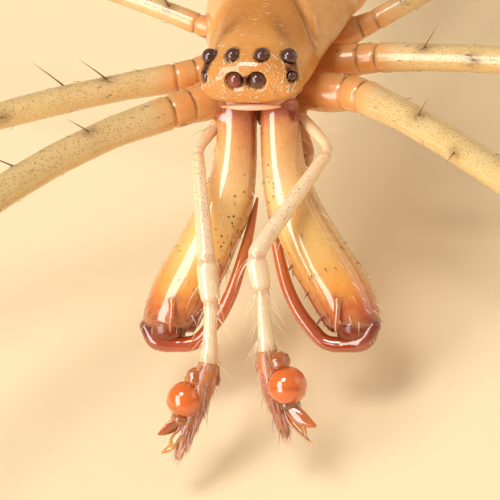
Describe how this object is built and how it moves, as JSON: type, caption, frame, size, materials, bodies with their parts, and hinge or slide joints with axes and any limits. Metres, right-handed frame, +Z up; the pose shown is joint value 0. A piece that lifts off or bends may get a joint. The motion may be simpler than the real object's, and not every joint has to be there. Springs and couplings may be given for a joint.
{
  "type": "long-jawed orbweaver spider, adult male",
  "caption": "Life-size still model of a male long-jawed orbweaver: slim body, long spread jaws with fangs, knobbed palps and very long spined legs.",
  "frame": {"origin": "on the floor, under the middle of the whole animal's box", "axes": "+Z up; the animal faces -Y, so its right side is at -X and its abdomen points to +Y"},
  "size_m": [0.0172, 0.0212, 0.0023],
  "materials": {
    "carapace_shell": "glossy amber-orange shell of the head and thorax, darker in the V groove",
    "sternum_shell": "satin brown shell of the sternum, lip and mouth lobes",
    "jaw_shell": "glossy golden-orange shell, pinker at the root and redder at the tip",
    "fang_horn": "glossy red-brown horn of the fangs",
    "eye_lens": "glossy near-black lenses with a red depth",
    "leg_shell": "glossy translucent yellow-tan legs with fine dark dots",
    "coxa_skin": "satin orange-pink hip pieces and joint skin",
    "palp_shell": "satin pale cream palps",
    "cymbium_shell": "brown hairy end piece of the palps",
    "bulb_shell": "very glossy orange bulb with a brown and golden tip",
    "abdomen_skin": "soft skin packed with silver flecks, with a darker leaf mark",
    "spinneret_skin": "brown spinnerets",
    "hair": "fine hairs and spines, brown to pale"
  },
  "bodies": {
    "root": {"carapace": "carapace_shell", "sternum": "sternum_shell", "labium": "sternum_shell", "eye_front_middle_right": "eye_lens", "eye_front_middle_left": "eye_lens", "eye_front_side_right": "eye_lens", "eye_front_side_left": "eye_lens", "eye_rear_middle_right": "eye_lens", "eye_rear_middle_left": "eye_lens", "eye_rear_side_right": "eye_lens", "eye_rear_side_left": "eye_lens", "endite_right": "sternum_shell", "chelicera_right": "jaw_shell", "fang_right": "fang_horn", "palp_right_femur": "palp_shell", "palp_right_tibia": "palp_shell", "palp_right_cymbium": "cymbium_shell", "palp_right_bulb": "bulb_shell", "leg_right_1_coxa": "coxa_skin", "leg_right_1_femur": "leg_shell", "leg_right_1_tibia": "leg_shell", "leg_right_1_tarsus": "leg_shell", "leg_right_2_coxa": "coxa_skin", "leg_right_2_femur": "leg_shell", "leg_right_2_tibia": "leg_shell", "leg_right_2_tarsus": "leg_shell", "leg_right_3_coxa": "coxa_skin", "leg_right_3_femur": "leg_shell", "leg_right_3_tibia": "leg_shell", "leg_right_3_tarsus": "leg_shell", "leg_right_4_coxa": "coxa_skin", "leg_right_4_femur": "leg_shell", "leg_right_4_tibia": "leg_shell", "leg_right_4_tarsus": "leg_shell", "endite_left": "sternum_shell", "chelicera_left": "jaw_shell", "fang_left": "fang_horn", "palp_left_femur": "palp_shell", "palp_left_tibia": "palp_shell", "palp_left_cymbium": "cymbium_shell", "palp_left_bulb": "bulb_shell", "leg_left_1_coxa": "coxa_skin", "leg_left_1_femur": "leg_shell", "leg_left_1_tibia": "leg_shell", "leg_left_1_tarsus": "leg_shell", "leg_left_2_coxa": "coxa_skin", "leg_left_2_femur": "leg_shell", "leg_left_2_tibia": "leg_shell", "leg_left_2_tarsus": "leg_shell", "leg_left_3_coxa": "coxa_skin", "leg_left_3_femur": "leg_shell", "leg_left_3_tibia": "leg_shell", "leg_left_3_tarsus": "leg_shell", "leg_left_4_coxa": "coxa_skin", "leg_left_4_femur": "leg_shell", "leg_left_4_tibia": "leg_shell", "leg_left_4_tarsus": "leg_shell", "pedicel": "coxa_skin", "abdomen": "abdomen_skin", "spinnerets": "spinneret_skin"}
  },
  "joints": []
}
